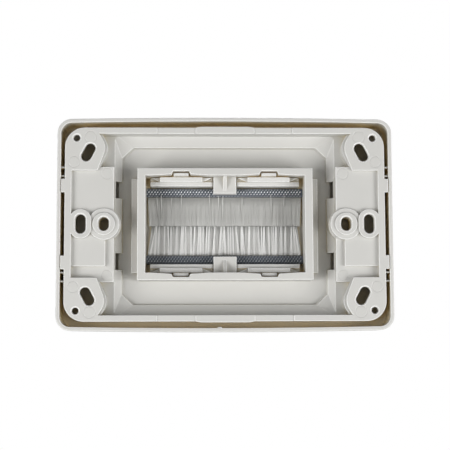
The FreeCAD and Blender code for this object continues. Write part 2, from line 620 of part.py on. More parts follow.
def moulding_recesses(body):
    """Cuts the stepped recess, the dish down to its crest and the well."""
    ledge = sketch_at(body, "LedgeRecess", "0")
    pad_outline(ledge, "0", True)
    pocket(body, ledge, "ledge_deep")
    nose, height = value(PAD_NOSE), value(PAD_NOSE_UP)
    noses = [(side * nose, up * height) for side in (1, -1) for up in (1, -1)]
    dress(body, "Fillet", upright_edges(body.Tip.Shape, noses), "pad_radius")

    shelf = sketch_at(body, "ShelfRecess", "0")
    pad_outline(shelf, "pad_step", False)
    pocket(body, shelf, "dish_deep")
    nose = value(f"{PAD_NOSE} - pad_step")
    noses = [(side * nose, up * height) for side in (1, -1) for up in (1, -1)]
    dress(body, "Fillet", upright_edges(body.Tip.Shape, noses), "pad_radius")

    bands = sketch_at(body, "BandRecess", "0")
    for side in (1, -1):
        polygon(bands, [
            (f"{side} * ({LEDGE_INNER} - grid_wall)", "-band_start"),
            (f"{side} * {BAND_SIDE}", "-band_start"),
            (f"{side} * {BAND_SIDE}", f"-{BAND_TOP}"),
            (f"{side} * {RAIL_INNER}", f"-{BAND_TOP}"),
            (f"{side} * {RAIL_INNER}", f"-{PAD_HEEL_UP}"),
            (f"{side} * {PAD_HEEL}", f"-{PAD_HEEL_UP}"),
            (f"{side} * ({PAD_HEEL} - pad_step)", f"-{LEDGE_TOP}"),
            (f"{side} * ({LEDGE_INNER} - grid_wall)", f"-{LEDGE_TOP}"),
        ])
    pocket(body, bands, "band_deep")

    first = sketch_at(body, "DishRecess", "dish_deep")
    second = sketch_at(body, "DishRecessEnd", CREST_DEEP)
    eight_sided(first, LEDGE_INNER, RECESS_TOP, "dish_chamfer", "dish_chamfer")
    eight_sided(second, CREST_SIDE, CREST_TOP)
    loft(body, "Subtractive", first, second)
    third = sketch_at(body, "WellRecess", CREST_DEEP)
    fourth = sketch_at(body, "WellRecessEnd", FLOOR_DEEP)
    eight_sided(third, CREST_SIDE, CREST_TOP)
    eight_sided(fourth, FLOOR_SIDE, FLOOR_TOP)
    loft(body, "Subtractive", third, fourth)


def lip_notches(body):
    """Cuts four notches in the lip down to the well's floor, each with a slit beside the ledge."""
    floors = sketch_at(body, "NotchFloors", FLOOR_DEEP)
    notches = sketch_at(body, "LipNotches", "dish_deep")
    for side, up in SIGNS:
        low, high = f"{up} * notch_inner", f"{up} * {NOTCH_OUTER}"
        inner, outer = f"{side} * ({FLOOR_SIDE} - grid_wall)", f"{side} * {SLIT_OUTER}"
        rectangle(floors, inner, f"{side} * ({SLIT_OUTER} - slit_wide)", low, high)
        rectangle(notches, inner, outer, low, high)
    pad(body, floors, "grid_wall")
    pocket(body, notches, f"{FLOOR_DEEP} - dish_deep")


def rim_details(body):
    """Adds the outward steps of the long edges, the ears and wedges, and the rim's reliefs."""
    bulges = sketch_at(body, "EdgeBulges", "0")
    for up in (1, -1):
        polygon(bulges, [
            ("-bulge_half", f"{up} * ({GRID_TOP} - grid_wall)"),
            ("bulge_half", f"{up} * ({GRID_TOP} - grid_wall)"),
            ("bulge_half", f"{up} * {GRID_TOP}"),
            ("bulge_half - bulge_run", f"{up} * ({GRID_TOP} + bulge_out)"),
            ("-(bulge_half - bulge_run)", f"{up} * ({GRID_TOP} + bulge_out)"),
            ("-bulge_half", f"{up} * {GRID_TOP}"),
        ])
    pad(body, bulges, CREST_DEEP)

    ears = sketch_at(body, "Ears", "0")
    wedges = sketch_at(body, "Wedges", "grid_wall + 2 * snap_gap + lug_thick")
    inside = f"({GRID_SIDE} - grid_wall / 2)"
    for side, up in SIGNS:
        low, high = f"{up} * ear_inner", f"{up} * {EAR_OUTER}"
        rectangle(ears, f"{side} * {inside}", f"{side} * ({CAVITY_SIDE} - ear_gap)", low, high)
        grip = f"{side} * ({CAVITY_SIDE} - lug_reach + snap_grip)"
        rectangle(wedges, f"{side} * {inside}", grip, low, high)
    pad(body, ears, "grid_wall")
    pad(body, wedges, "lug_thick")

    reliefs = sketch_at(body, "RimReliefs", "0")
    for side, up in SIGNS:
        rectangle(
            reliefs,
            f"{side} * bulge_half",
            f"{side} * {RELIEF_END}",
            f"{up} * {RECESS_TOP}",
            f"{up} * {GRID_TOP}",
        )
    pocket(body, reliefs, "relief_deep")


def collar(body):
    """Adds the collar that holds the insert, with its shoulders, latch notches and centre tabs."""
    wall = sketch_at(body, "Collar", "0")
    rectangle(wall, f"-{COLLAR_SIDE}", COLLAR_SIDE, f"-{COLLAR_TOP}", COLLAR_TOP)
    pad(body, wall, GRID_FRONT)
    shoulders = sketch_at(body, "Shoulders", CREST_DEEP)
    for side in (1, -1):
        rectangle(
            shoulders,
            f"{side} * ({COLLAR_SIDE} - grid_wall / 2)",
            f"{side} * {SHOULDER_SIDE}",
            f"-({COLLAR_TOP} - shoulder_inset)",
            f"{COLLAR_TOP} - shoulder_inset",
        )
    pad(body, shoulders, f"{GRID_FRONT} - {CREST_DEEP}")

    opening = sketch_at(body, "CollarOpening", "0")
    rectangle(
        opening, "-opening_width / 2", "opening_width / 2", "-opening_height / 2", "opening_height / 2"
    )
    pocket(body, opening, GRID_FRONT)

    notches = sketch_at(body, "LatchNotches", "0")
    half = "(latch_notch_wide / 2)"
    for side, up in SIGNS:
        outline = [
            (f"-({half} + latch_relief_run)", "-fit_gap"),
            (f"-({half} + latch_relief_run)", "0"),
            (f"-{half}", "latch_relief_high"),
            (f"-({half} - latch_notch_lean)", "latch_notch_high"),
            (f"({half} - latch_notch_lean)", "latch_notch_high"),
            (half, "latch_relief_high"),
            (f"({half} + latch_relief_run)", "0"),
            (f"({half} + latch_relief_run)", "-fit_gap"),
        ]
        polygon(notches, [
            (f"{side} * latch_place + {across}", f"{up} * (opening_height / 2 + ({rise}))")
            for across, rise in outline
        ])
    pocket(body, notches, "latch_notch_deep")

    tabs = sketch_at(body, "CentreTabs", TAB_DEEP)
    root = "(opening_height / 2 + grid_wall / 2)"
    for up in (1, -1):
        rectangle(tabs, "-tab_width / 2", "tab_width / 2", f"{up} * {TAB_END}", f"{up} * {root}")
    pad(body, tabs, f"{HEAD_REAR} - head_play - {TAB_DEEP}")

    ribs = sketch_at(body, "TabRibs", "-tab_rib_wide / 2", "YZ_Plane")
    for up in (1, -1):
        polygon(ribs, [
            ("-tab_rib_deep", f"{up} * {root}"),
            (f"-({TAB_DEEP} + grid_wall / 2)", f"{up} * {root}"),
            (f"-({TAB_DEEP} + grid_wall / 2)", f"{up} * {TAB_RIB_END}"),
            (f"-{TAB_DEEP}", f"{up} * {TAB_RIB_END}"),
            ("-tab_rib_deep", f"{up} * opening_height / 2"),
        ])
    pad(body, ribs, "tab_rib_wide")


def fixing_holes(body):
    """Adds the screw bosses and cuts the slots and holes through the plate, with chamfered rims."""
    outer_bosses = sketch_at(body, "OuterBosses", "0")
    inner_bosses = sketch_at(body, "InnerBosses", "inner_boss_step")
    inner_faces = sketch_at(body, "InnerBossFaces", "0")
    inner_skirts = sketch_at(body, "InnerBossSkirts", "boss_skirt_deep")
    for side in (1, -1):
        rise = "((outer_boss_long - outer_boss_wide) / 2)"
        slot(outer_bosses, f"{side} * {OUTER_SLOT}", "0", "0", rise, "(outer_boss_wide / 2)")
        circle(inner_bosses, f"{side} * {INNER_SLOT}", "0", "inner_boss")
        circle(inner_faces, f"{side} * {INNER_SLOT}", "0", "inner_boss_top")
        circle(inner_skirts, f"{side} * {INNER_SLOT}", "0", "(inner_boss + 2 * boss_skirt)")
    pad(body, outer_bosses, "ledge_deep + grid_wall")
    pad(body, inner_bosses, f"{CREST_DEEP} - inner_boss_step")
    pad(body, inner_faces, CREST_DEEP)
    pad(body, inner_skirts, f"{CREST_DEEP} - boss_skirt_deep")

    holes = sketch_at(body, "FixingHoles", "0")
    for side in (1, -1):
        for name, place in (("inner", INNER_SLOT), ("outer", OUTER_SLOT)):
            rise = f"(({name}_slot_long - {name}_slot_wide) / 2)"
            slot(holes, f"{side} * {place}", "0", "0", rise, f"({name}_slot_wide / 2)")
    reach = f"sqrt(pow({CORNER_SLOT_X}; 2) + pow({CORNER_SLOT_Z}; 2))"
    half = "((corner_slot_long - corner_slot_wide) / 2)"
    for side, up in SIGNS:
        slot(
            holes,
            f"{side} * {CORNER_SLOT_X}",
            f"{up} * {CORNER_SLOT_Z}",
            f"({-side} * {half} * {CORNER_SLOT_Z} / {reach})",
            f"({up} * {half} * {CORNER_SLOT_X} / {reach})",
            "(corner_slot_wide / 2)",
        )
        circle(holes, f"{side} * {PIN_X}", f"{up} * {PIN_Z}", "pin_hole")
    pocket(body, holes, GRID_FRONT)

    shape = body.Tip.Shape
    rims = []
    for number, edge in enumerate(shape.Edges, start=1):
        curved = isinstance(edge.Curve, Part.Circle) and edge.BoundBox.YMin > -1e-3
        widest = value("corner_slot_wide / 2") + 1e-3
        if curved and edge.Curve.Radius <= widest:
            rims.append(f"Edge{number}")
    dress(body, "Chamfer", rims, "hole_chamfer")


def mounting_plate():
    """The rear moulding that is screwed to the wall and holds the insert."""
    body = new_body("mounting_plate")
    moulding_skin(body)
    moulding_recesses(body)
    lip_notches(body)
    rim_details(body)
    collar(body)
    fixing_holes(body)
    return body


def tongue_root(body):
    """Adds the roots that the tongues stand on, with a gusset at each side of every tongue."""
    roots = sketch_at(body, "TongueRoots", f"{CHANNEL_REAR} + root_drop")
    gussets = sketch_at(body, "Gussets", f"{CHANNEL_REAR} + root_drop - gusset_rise")
    inner, outer = "(latch_place - tongue_wide / 2)", "(latch_place + tongue_wide / 2)"
    for side, up in SIGNS:
        low, high = f"{up} * {CHANNEL_FACE}", f"{up} * {TONGUE_FACE}"
        rectangle(roots, f"{side} * {TAB_GAP}", f"{side} * {CHANNEL_SIDE}", low, high)
        for end, foot in ((TAB_GAP, inner), (CHANNEL_SIDE, outer)):
            polygon(gussets, [
                (f"{side} * {end}", high),
                (f"{side} * {foot}", high),
                (f"{side} * {foot}", low),
            ])
    pad(body, roots, f"{BEZEL_REAR} + bezel_face / 2 - {CHANNEL_REAR} - root_drop")
    pad(body, gussets, "gusset_rise")


def brush_insert():
    """The front bezel with the channels and the four latches that hold it in the collar."""
    body = new_body("brush_insert")
    bezel = sketch_at(body, "Bezel", BEZEL_REAR)
    rounded_rectangle(bezel, BEZEL_SIDE, BEZEL_TOP, "bezel_corner")
    pad(body, bezel, f"{BEZEL_FRONT} - {BEZEL_REAR}")
    front = -value(BEZEL_FRONT)
    edges = edges_where(body.Tip.Shape, lambda a, b: near(a.y, front) and near(b.y, front))
    dress(body, "Fillet", edges, "bezel_edge")

    aperture = sketch_at(body, "Aperture", BEZEL_REAR)
    rounded_rectangle(aperture, APERTURE_SIDE, APERTURE_TOP, "bezel_corner")
    pocket(body, aperture, f"{BEZEL_FRONT} - {BEZEL_REAR}")

    seat = sketch_at(body, "BrushSeat", BEZEL_REAR)
    rectangle(seat, "-opening_width / 2", "opening_width / 2", f"-{CHANNEL_SEAT}", CHANNEL_SEAT)
    pocket(body, seat, f"{HEAD_FRONT} + head_play - {BEZEL_REAR}")

    walls = sketch_at(body, "ChannelWalls", CHANNEL_REAR)
    for up in (1, -1):
        low, high = f"{up} * {CHANNEL_SEAT}", f"{up} * {CHANNEL_FACE}"
        rectangle(walls, f"-{CHANNEL_SIDE}", CHANNEL_SIDE, low, high)
    pad(body, walls, f"{BEZEL_REAR} + bezel_face / 2 - {CHANNEL_REAR}")
    tongue_root(body)
    gaps = sketch_at(body, "TabGaps", CHANNEL_REAR)
    for up in (1, -1):
        rectangle(gaps, f"-{TAB_GAP}", TAB_GAP, f"{up} * {CHANNEL_SEAT}", f"{up} * {TONGUE_FACE}")
    pocket(body, gaps, f"{HEAD_REAR} - head_play + fit_gap - {CHANNEL_REAR}")

    tongues = sketch_at(body, "Tongues", "tongue_rear")
    for side, up in SIGNS:
        rectangle(
            tongues,
            f"{side} * latch_place - tongue_wide / 2",
            f"{side} * latch_place + tongue_wide / 2",
            f"{up} * ({TONGUE_FACE} - tongue_thick)",
            f"{up} * {TONGUE_FACE}",
        )
    pad(body, tongues, f"{BEZEL_REAR} + bezel_face / 2 - tongue_rear")

    for side, word in ((1, "Left"), (-1, "Right")):
        hooks = sketch_at(body, f"Hooks{word}", f"{side} * latch_place - {HOOK_WIDE} / 2", "YZ_Plane")
        for up in (1, -1):
            polygon(hooks, [
                ("-(tongue_rear + hook_gap)", f"{up} * ({TONGUE_FACE} - tongue_thick / 2)"),
                ("-(tongue_rear + hook_gap)", f"{up} * ({TONGUE_FACE} + hook_gap)"),
                ("-hook_deep", f"{up} * ({TONGUE_FACE} + hook_gap)"),
                ("-hook_deep", f"{up} * ({TONGUE_FACE} + hook_reach)"),
                ("-(latch_notch_deep - fit_gap)", f"{up} * ({TONGUE_FACE} + hook_reach)"),
                ("-(latch_notch_deep - fit_gap)", f"{up} * ({TONGUE_FACE} - tongue_thick / 2)"),
            ])
        pad(body, hooks, HOOK_WIDE)
    return body


def brush_head(label, up):
    """The woven binding along the root of a bank of bristles."""
    body = new_body(label)
    section = sketch_at(body, f"{label}_section", "-(opening_width / 2 - fit_gap)", "YZ_Plane")
    middle = f"({up} * ({HEAD_INNER} + {HEAD_OUTER}) / 2)"
    depth = f"(-({HEAD_REAR} + {HEAD_FRONT}) / 2)"
    rounded_rectangle(section, "(head_thick / 2)", "(head_high / 2)", "head_round", depth, middle)
    pad(body, section, "opening_width - 2 * fit_gap")
    return body


def bristles(label, up, count, tip):
    """A bank of bristles: a close root and a row of tufts that narrow toward their tips."""
    body = new_body(label)
    depth = f"(({HEAD_REAR} + {HEAD_FRONT}) / 2 - bristle_thick / 2)"
    root = sketch_at(body, f"{label}_root", depth)
    low = f"({HEAD_INNER} - bristle_root)"
    rectangle(root, f"-{BRISTLE_SIDE}", BRISTLE_SIDE, f"{up} * {low}", f"{up} * {HEAD_INNER}")
    pad(body, root, "bristle_thick")

    tuft = sketch_at(body, f"{label}_tuft", depth)
    pitch = f"(2 * {BRISTLE_SIDE} / {count})"
    start = f"(-{BRISTLE_SIDE})"
    polygon(tuft, [
        (start, f"{up} * {HEAD_INNER}"),
        (f"({start} + {pitch})", f"{up} * {HEAD_INNER}"),
        (f"({start} + {pitch})", f"{up} * {low}"),
        (f"({start} + {pitch} * (1 + {tip}) / 2)", f"{up} * bristle_part / 2"),
        (f"({start} + {pitch} * (1 - {tip}) / 2)", f"{up} * bristle_part / 2"),
        (start, f"{up} * {low}"),
    ])
    first = pad(body, tuft, "bristle_thick")
    before = volume(body)
    row = body.newObject("PartDesign::LinearPattern", f"{label}_row")
    row.Originals = [first]
    row.Direction = (tuft, ["H_Axis"])
    row.setExpression("Length", cell(f"2 * {BRISTLE_SIDE} - {pitch}"))
    row.setExpression("Occurrences", cell(count))
    checked(body, row, before, True)
    return body


bodies = [
    cover_plate(),
    mounting_plate(),
    brush_insert(),
    brush_head("upper_brush_head", 1),
    brush_head("lower_brush_head", -1),
    bristles("upper_bristles", 1, "upper_tufts", "upper_tip"),
    bristles("lower_bristles", -1, "lower_tufts", "lower_tip"),
]
doc.recompute()

for item in doc.Objects:
    if "Invalid" in item.State or "Error" in item.State:
        raise RuntimeError(f"{item.Name} failed: {item.State}")
for body in bodies:
    shape = body.Shape
    if shape.isNull() or not shape.isValid() or len(shape.Solids) != 1:
        raise RuntimeError(f"{body.Label} is not one valid solid")

os.makedirs("parts", exist_ok=True)
for body in bodies:
    body.Shape.exportStep(f"parts/{body.Label}.step")
    print(body.Label, round(body.Shape.Volume, 1))
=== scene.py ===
"""Brush wall plate from its wall side: three plastic mouldings round two facing nylon brushes.

Metres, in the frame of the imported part: X along the plate, Z up, the wall at y = 0, the front toward -Y.
"""

import math

import bmesh
import bpy
import numpy as np
from mathutils import Matrix, Vector


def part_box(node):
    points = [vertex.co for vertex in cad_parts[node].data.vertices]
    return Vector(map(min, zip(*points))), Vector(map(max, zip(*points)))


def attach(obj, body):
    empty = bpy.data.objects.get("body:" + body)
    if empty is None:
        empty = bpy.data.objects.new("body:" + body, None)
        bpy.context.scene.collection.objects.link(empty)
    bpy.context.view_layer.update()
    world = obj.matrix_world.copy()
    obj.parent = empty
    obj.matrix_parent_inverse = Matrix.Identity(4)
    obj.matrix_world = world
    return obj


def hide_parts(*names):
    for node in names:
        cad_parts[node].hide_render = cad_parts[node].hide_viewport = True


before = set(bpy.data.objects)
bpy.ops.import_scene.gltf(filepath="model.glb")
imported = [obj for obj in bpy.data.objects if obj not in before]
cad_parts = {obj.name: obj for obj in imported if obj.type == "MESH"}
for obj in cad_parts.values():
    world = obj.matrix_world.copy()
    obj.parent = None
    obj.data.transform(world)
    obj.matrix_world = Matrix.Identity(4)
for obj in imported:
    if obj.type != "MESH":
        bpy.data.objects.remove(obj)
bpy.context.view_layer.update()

MM = 0.001
DOUBLED = 0.0001 * MM
WHITE = (1.0, 1.0, 1.0, 1.0)
scene = bpy.context.scene
scene.view_settings.view_transform = "Standard"

# Sockets of a Mix node that mixes colours.
SHARE = 0
FIRST = 6
SECOND = 7
MIXED = 2


def linear(colour):
    """An sRGB hex value as linear red, green, blue and alpha, by the standard curve."""
    parts = [int(colour[place:place + 2], 16) / 255 for place in (1, 3, 5)]
    curve = [part / 12.92 if part <= 0.04045 else ((part + 0.055) / 1.055) ** 2.4 for part in parts]
    return (*curve, 1.0)


def add(tree, kind, inputs=None, **settings):
    """Adds a node, sets its options, and sets or links its inputs by name or number."""
    node = tree.nodes.new(kind)
    for name, setting in settings.items():
        setattr(node, name, setting)
    for name, given in (inputs or {}).items():
        if isinstance(given, bpy.types.NodeSocket):
            tree.links.new(given, node.inputs[name])
        else:
            node.inputs[name].default_value = given
    return node


def new_material(name):
    """An empty material and its node tree."""
    material = bpy.data.materials.new(name)
    material.use_nodes = True
    material.node_tree.nodes.clear()
    return material, material.node_tree


def new_piece(name, vertices, faces, material, tone=None, smooth=True):
    """A mesh object from arrays of vertices and quads, with an optional tone for each vertex."""
    mesh = bpy.data.meshes.new(name)
    mesh.from_pydata(vertices.reshape(-1, 3), [], faces.reshape(-1, faces.shape[-1]).tolist())
    if tone is not None:
        attribute = mesh.attributes.new("tone", "FLOAT", "POINT")
        attribute.data.foreach_set("value", tone.astype(np.float32).ravel())
    if smooth:
        mesh.shade_smooth()
    mesh.materials.append(material)
    piece = bpy.data.objects.new(name, mesh)
    scene.collection.objects.link(piece)
    return piece


def grid_faces(rows, columns):
    """Quads between neighbouring points of a grid, by index."""
    first = np.arange((rows - 1) * columns).reshape(rows - 1, columns)[:, :-1]
    return np.stack([first, first + columns, first + columns + 1, first + 1], -1).reshape(-1, 4)


def close_seams(piece):
    """Merges the points that lie on one another along a grid's seams and at its poles."""
    work = bmesh.new()
    work.from_mesh(piece.data)
    bmesh.ops.remove_doubles(work, verts=work.verts, dist=DOUBLED)
    work.to_mesh(piece.data)
    work.free()


# Camera: the photograph looks at the wall side from a little below.
IMAGE_SIZE = 450
FOCAL_PIXELS = 1156.8
SENSOR = 36.0
NEAR_CLIP = 10 * MM
FAR_CLIP = 20.0
CAMERA_DISTANCE = 400 * MM
CAMERA_AIM = Vector((0.10 * MM, 0.0, -0.47 * MM))
CAMERA_RISE = math.radians(5.95)
CAMERA_SWING = math.radians(-1.45)
CAMERA_ROLL = math.radians(0.18)


def photo_camera():
    """The photograph's camera: its line of sight rises, swings to the side and rolls a little."""
    sight = Vector((
        math.cos(CAMERA_RISE) * math.sin(CAMERA_SWING),
        -math.cos(CAMERA_RISE) * math.cos(CAMERA_SWING),
        math.sin(CAMERA_RISE),
    ))
    lens = bpy.data.cameras.new("photo camera")
    lens.sensor_width = SENSOR
    lens.lens = FOCAL_PIXELS / IMAGE_SIZE * SENSOR
    lens.clip_start = NEAR_CLIP
    lens.clip_end = FAR_CLIP
    camera = bpy.data.objects.new("photo camera", lens)
    turn = sight.to_track_quat("-Z", "Y").to_matrix() @ Matrix.Rotation(-CAMERA_ROLL, 3, "Z")
    camera.matrix_world = Matrix.Translation(CAMERA_AIM - CAMERA_DISTANCE * sight) @ turn.to_4x4()
    scene.collection.objects.link(camera)
    scene.camera = camera


# Light: two soft boxes low on the wall side, far out to the left and right, and one above the front.
AMBIENT = 0.10
SIDE_BOX = (760 * MM, 640 * MM, -260 * MM)
SIDE_BOX_SIZE = 560 * MM
SIDE_BOX_POWER = 7.7
FRONT_BOX = (-200 * MM, -560 * MM, 400 * MM)
FRONT_BOX_SIZE = 500 * MM
FRONT_BOX_POWER = 5.8

# Floor: its size, its mesh, its paint, and how white the camera sees it.
FLOOR_DROP = 800 * MM
FLOOR_RADIUS = 1300 * MM
FLOOR_RINGS = 9
FLOOR_SPOKES = 65
STIPPLES_PER_METRE = 90.0
WHITE_TO_CAMERA = 0.85


def soft_box(name, place, size, power):
    """A square area lamp that faces the plate and isn't seen itself."""
    lamp = bpy.data.lights.new(name, "AREA")
    lamp.size = size
    lamp.energy = power
    holder = bpy.data.objects.new(name, lamp)
    turn = (-Vector(place)).to_track_quat("-Z", "Y").to_matrix()
    holder.matrix_world = Matrix.Translation(place) @ turn.to_4x4()
    holder.visible_camera = False
    scene.collection.objects.link(holder)


def white_room():
    """A world that lights the plate weakly and evenly, and is white where it is seen or mirrored."""
    world = bpy.data.worlds.new("white room")
    world.use_nodes = True
    scene.world = world
    tree = world.node_tree
    tree.nodes.clear()
    path = add(tree, "ShaderNodeLightPath")
    mirrored = add(tree, "ShaderNodeMath", {
        0: path.outputs["Is Glossy Ray"], 1: path.outputs["Is Transmission Ray"],
    }, operation="MAXIMUM")
    seen = add(tree, "ShaderNodeMath", {
        0: path.outputs["Is Camera Ray"], 1: mirrored.outputs[0],
    }, operation="MAXIMUM")
    strength = add(tree, "ShaderNodeMapRange", {
        "Value": seen.outputs[0], "To Min": AMBIENT, "To Max": 1.0,
    })
    room = add(tree, "ShaderNodeBackground", {"Color": WHITE, "Strength": strength.outputs["Result"]})
    add(tree, "ShaderNodeOutputWorld", {"Surface": room.outputs[0]})


def painted_board():
    """Matt painted board with a faint roller texture, seen by the camera as nearly white."""
    material, tree = new_material("matt painted board")
    place = add(tree, "ShaderNodeTexCoord").outputs["Object"]
    roller = add(tree, "ShaderNodeTexNoise", {
        "Vector": place, "Scale": STIPPLES_PER_METRE, "Detail": 3.0,
    })
    shade = add(tree, "ShaderNodeMix", {
        SHARE: roller.outputs[0], FIRST: linear("#DCDCDA"), SECOND: linear("#E4E4E2"),
    }, data_type="RGBA")
    surface = add(tree, "ShaderNodeBsdfPrincipled", {
        "Base Color": shade.outputs[MIXED],
        "Roughness": 0.85,
    })
    white = add(tree, "ShaderNodeEmission", {"Color": WHITE, "Strength": 1.0})
    path = add(tree, "ShaderNodeLightPath")
    share = add(tree, "ShaderNodeMath", {
        0: path.outputs["Is Camera Ray"], 1: WHITE_TO_CAMERA,
    }, operation="MULTIPLY")
    seen = add(tree, "ShaderNodeMixShader", {
        0: share.outputs[0], 1: surface.outputs[0], 2: white.outputs[0],
    })
    add(tree, "ShaderNodeOutputMaterial", {"Surface": seen.outputs[0]})
    return material


def pale_floor():
    """A disc under the plate: for radius r and angle a, (r cos a, r sin a, -drop)."""
    radius, angle = np.meshgrid(
        np.linspace(0, FLOOR_RADIUS, FLOOR_RINGS), np.linspace(0, 2 * np.pi, FLOOR_SPOKES), indexing="ij"
    )
    points = np.stack([
        radius * np.cos(angle),
        radius * np.sin(angle),
        np.full_like(radius, -FLOOR_DROP),
    ], -1)
    floor = new_piece("floor", points, grid_faces(*radius.shape), painted_board(), smooth=False)
    close_seams(floor)


def studio():
    """The white room, the lamps and the pale floor."""
    white_room()
    across, deep, up = SIDE_BOX
    soft_box("left soft box", (across, deep, up), SIDE_BOX_SIZE, SIDE_BOX_POWER)
    soft_box("right soft box", (-across, deep, up), SIDE_BOX_SIZE, SIDE_BOX_POWER)
    soft_box("front soft box", FRONT_BOX, FRONT_BOX_SIZE, FRONT_BOX_POWER)
    pale_floor()


# Ejector marks on the wall side: place along X and Z in one quarter, and radius.
EJECTOR_MARKS = [
    (46.7 * MM, 30.4 * MM, 2.0 * MM),
    (52.4 * MM, 21.7 * MM, 1.9 * MM),
    (41.0 * MM, 17.7 * MM, 1.9 * MM),
]
MARK_LINE = 0.28 * MM
MARK_DEPTH = 0.10 * MM

# Moulded surface: rounding of its edges, clouds in its colour, its grain, and the roughness that this gives.
EDGE_ROUND = 0.50 * MM
EDGE_SAMPLES = 6
COLOUR_CLOUD = 14 * MM
MOULD_GRAIN = 0.32 * MM
GRAIN_DEPTH = 0.010 * MM
SMOOTHEST = 0.36
ROUGHEST = 0.50
ABS_IOR = 1.53

# Where each painted highlight, shade and bounce light begins and where it is full. A turn is the cosine
# between the rounded normal and the face's own. Air is the share of open air within a reach.
# The last two are the most that a painted shade covers.
EDGE_REACH = 0.8 * MM
CREVICE_REACH = 12.0 * MM
AIR_SAMPLES = 8
HIGHLIGHT_TURN = (0.999, 0.96)
HIGHLIGHT_AIR = (0.80, 0.95)
FOOT_AIR = (0.80, 0.45)
WELL_AIR = (0.50, 0.22)
BOUNCE_LIGHT_AIR = (0.17, 0.01)
FOOT_SHADE_MOST = 0.25
WELL_SHADE_MOST = 0.45


def painted_edge_highlight_and_crevice_shade(tree, colour, rounded):
    """Paints highlights, shade and bounce light into a moulding's colour.

    The rounded edges are painted nearly white where the rounded normal leaves the face's own with open air
    close by: a painted highlight. The feet of steps, with little air close by, are painted grey, and wells,
    with little air in a wider reach, a darker warm grey: painted shade. A deep crevice, with almost no air,
    is painted a warm pale colour that stands in for light bounced inside the faintly yellow plastic.
    """
    face = add(tree, "ShaderNodeNewGeometry").outputs["True Normal"]
    close = add(tree, "ShaderNodeAmbientOcclusion", {
        "Distance": EDGE_REACH,
    }, samples=AIR_SAMPLES).outputs["AO"]
    wide = add(tree, "ShaderNodeAmbientOcclusion", {
        "Distance": CREVICE_REACH,
    }, samples=AIR_SAMPLES).outputs["AO"]
    turned = add(tree, "ShaderNodeVectorMath", {0: rounded, 1: face}, operation="DOT_PRODUCT")
    # Painted highlight: the colour goes nearly white where the rounded normal turns from the face's own and
    # open air is close by.
    painted_highlight_turn = add(tree, "ShaderNodeMapRange", {
        "Value": turned.outputs["Value"], "From Min": HIGHLIGHT_TURN[0], "From Max": HIGHLIGHT_TURN[1],
    }, interpolation_type="SMOOTHSTEP").outputs[0]
    painted_highlight_air = add(tree, "ShaderNodeMapRange", {
        "Value": close, "From Min": HIGHLIGHT_AIR[0], "From Max": HIGHLIGHT_AIR[1],
    }).outputs[0]
    # Painted shade: grey at the feet of steps, where little air is close by.
    painted_foot_shade = add(tree, "ShaderNodeMapRange", {
        "Value": close, "From Min": FOOT_AIR[0], "From Max": FOOT_AIR[1], "To Max": FOOT_SHADE_MOST,
    }).outputs[0]
    # Painted shade: a darker warm grey in wells, where little air lies within the wider reach.
    painted_well_shade = add(tree, "ShaderNodeMapRange", {
        "Value": wide, "From Min": WELL_AIR[0], "From Max": WELL_AIR[1], "To Max": WELL_SHADE_MOST,
    }).outputs[0]
    # Painted light: a warm pale colour in deep crevices, standing in for light bounced inside the plastic.
    deep = add(tree, "ShaderNodeMapRange", {
        "Value": wide, "From Min": BOUNCE_LIGHT_AIR[0], "From Max": BOUNCE_LIGHT_AIR[1],
    }, interpolation_type="SMOOTHSTEP").outputs[0]
    edge = add(tree, "ShaderNodeMath", {0: painted_highlight_turn, 1: painted_highlight_air}, operation="MULTIPLY").outputs[0]
    # The tints, in turn: painted highlight, painted shade at the feet of steps, painted shade in wells,
    # painted bounce light.
    for share, tint in ((edge, "#FFFFFD"), (painted_foot_shade, "#A5A196"), (painted_well_shade, "#AFA68D"), (deep, "#F2DCA8")):
        colour = add(tree, "ShaderNodeMix", {
            SHARE: share, FIRST: colour, SECOND: linear(tint),
        }, data_type="RGBA").outputs[MIXED]
    return colour


